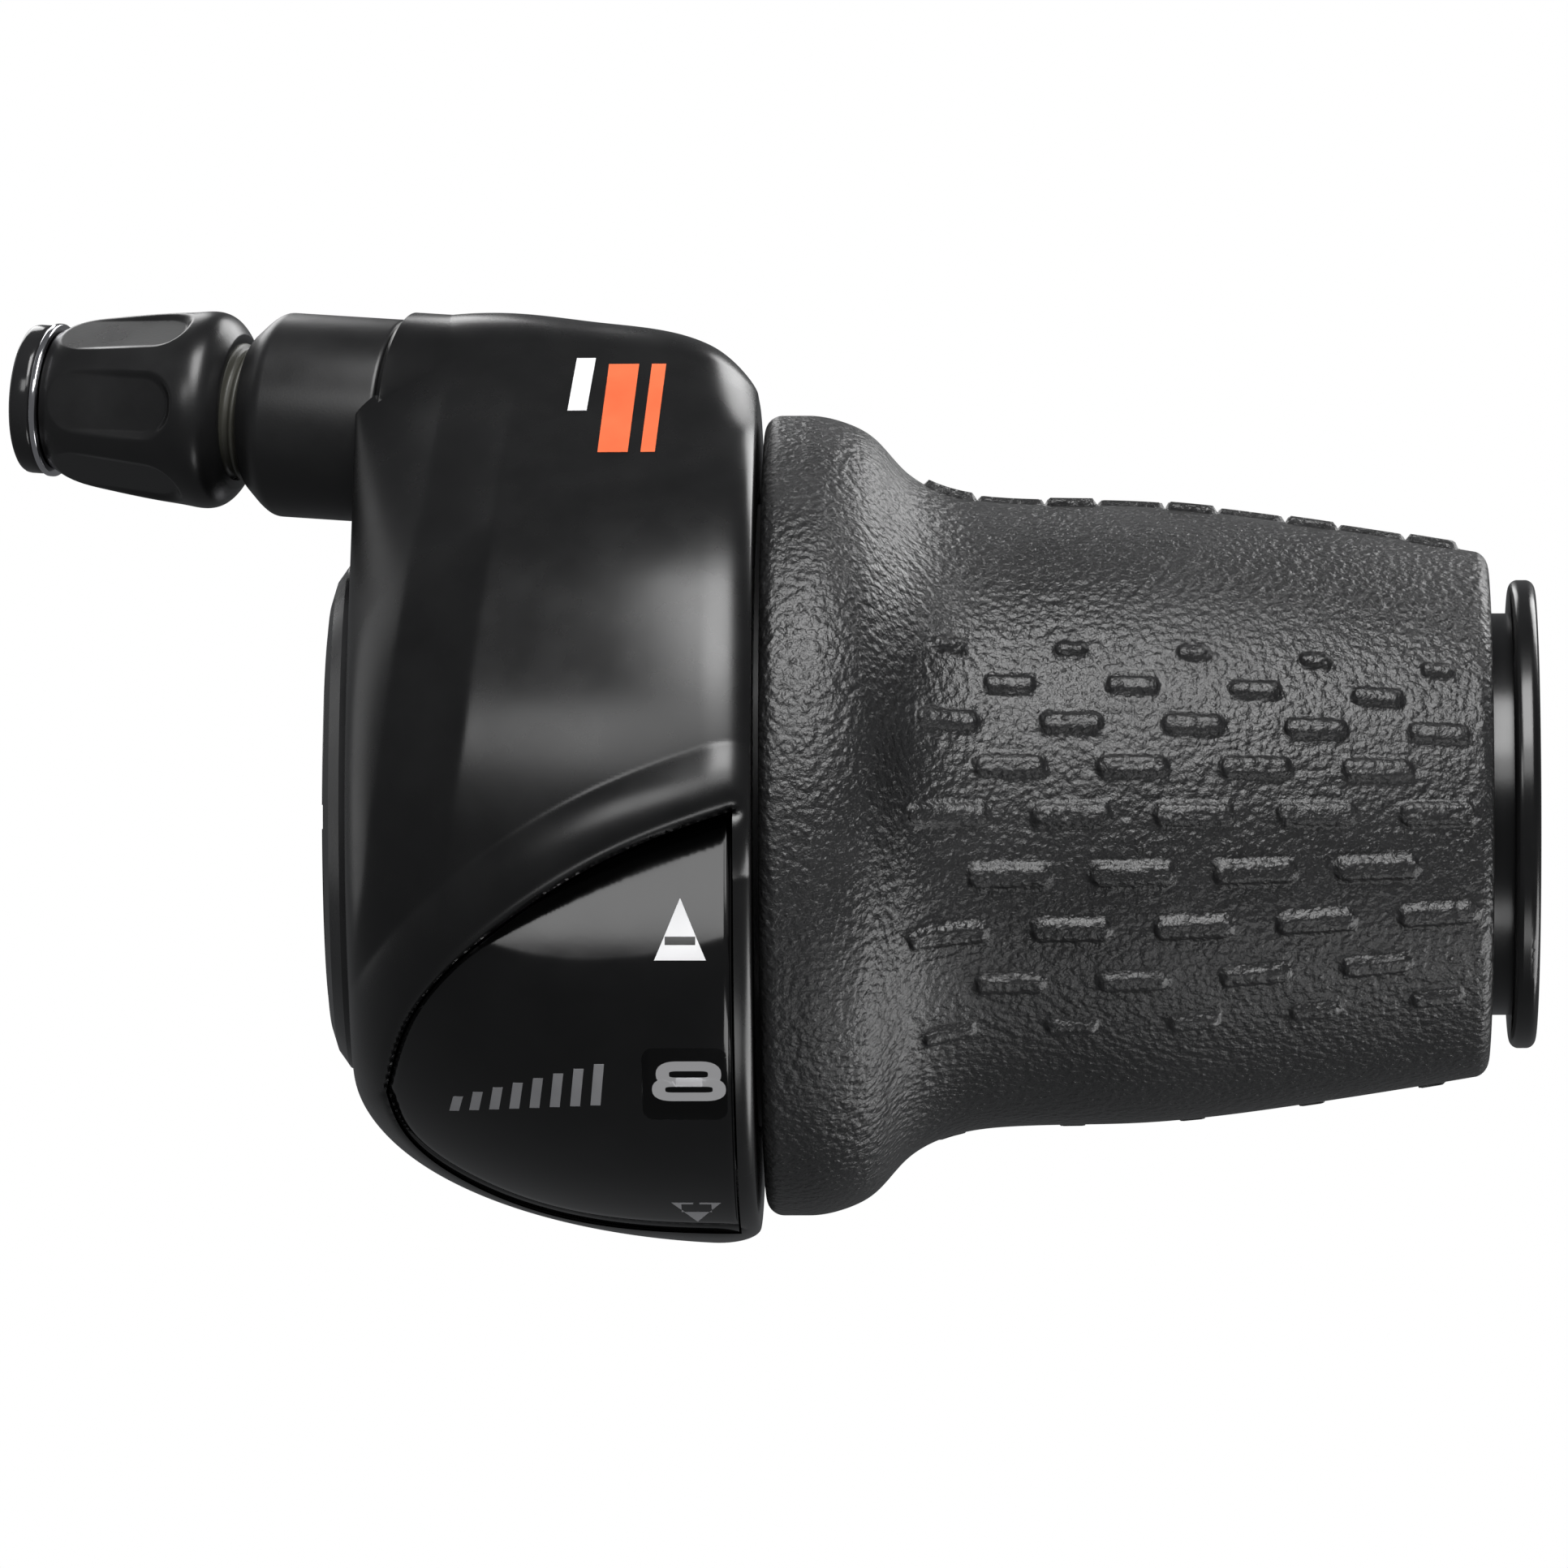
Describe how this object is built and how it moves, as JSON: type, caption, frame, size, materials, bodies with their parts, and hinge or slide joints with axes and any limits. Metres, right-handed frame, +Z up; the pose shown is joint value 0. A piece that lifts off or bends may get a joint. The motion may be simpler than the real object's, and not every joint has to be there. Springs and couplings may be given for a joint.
{
  "type": "bicycle twist grip shifter",
  "caption": "Right-hand twist-grip gear shifter with moulded housing, gear window, textured rubber grip and a tilting barrel adjuster for the cable.",
  "frame": {"origin": "on the handlebar axis, at the inboard mouth of the sleeve's bore", "axes": "+X along the handlebar axis towards its free end, +Z up as pictured, -Y towards the rider who reads the window"},
  "size_m": [0.0968, 0.0542, 0.0593],
  "materials": {
    "sleeve_plastic": "gloss",
    "clamp_black": "gloss",
    "steel": "satin",
    "cover_gloss": "semi-gloss",
    "window_black": "high gloss",
    "window_clear": "polished",
    "boss_satin": "satin",
    "guide_plastic": "natural",
    "bolt_plastic": "satin",
    "barrel_satin": "satin",
    "bright_ring": "polished",
    "seat_gloss": "gloss",
    "drum_plastic": "satin",
    "ring_black": "satin",
    "core_plastic": "satin",
    "grip_rubber": "fine leather grain"
  },
  "bodies": {
    "housing": {"bracket": "sleeve_plastic", "clamp_collar": "clamp_black", "clamp_bolt": "steel", "clamp_washer": "steel", "clamp_nut": "steel", "front_cover": "cover_gloss", "rear_cover": "cover_gloss", "cover_screws": "steel", "window_panel": "window_black", "window_lens": "window_clear", "cable_boss": "boss_satin", "cable_guide": "guide_plastic", "detent_roller": "steel", "detent_spring": "steel", "thrust_washer": "guide_plastic", "retaining_washer": "guide_plastic", "retaining_clip": "steel", "end_flange": "sleeve_plastic"},
    "grip": {"grip_rubber": "grip_rubber", "grip_core": "core_plastic", "cable_drum": "drum_plastic", "detent_ring": "steel", "index_ring": "ring_black"},
    "casing_end": {"casing_seat": "seat_gloss", "seat_ring": "bright_ring"},
    "barrel": {"adjuster_barrel": "barrel_satin", "adjuster_bolt": "bolt_plastic"}
  },
  "joints": [
    {"name": "grip_twist", "type": "hinge", "parent": "housing", "child": "grip", "pos_m": [0.03, 0, 0], "axis": [-1, 0, 0], "range_deg": [0, 105]},
    {"name": "adjuster_slide", "type": "slide", "parent": "housing", "child": "casing_end", "axis": [-0.9636, 0.2582, 0.0698], "range_m": [-0.001, 0.003]},
    {"name": "adjuster_turn", "type": "hinge", "parent": "casing_end", "child": "barrel", "pos_m": [-0.01066, 0.0071, 0.02614], "axis": [-0.9636, 0.2582, 0.0698], "range_deg": [-360, 1080]}
  ],
  "couplings": [
    {"joint": "adjuster_turn", "follows": "adjuster_slide", "rad_per_m": 6283.2}
  ]
}
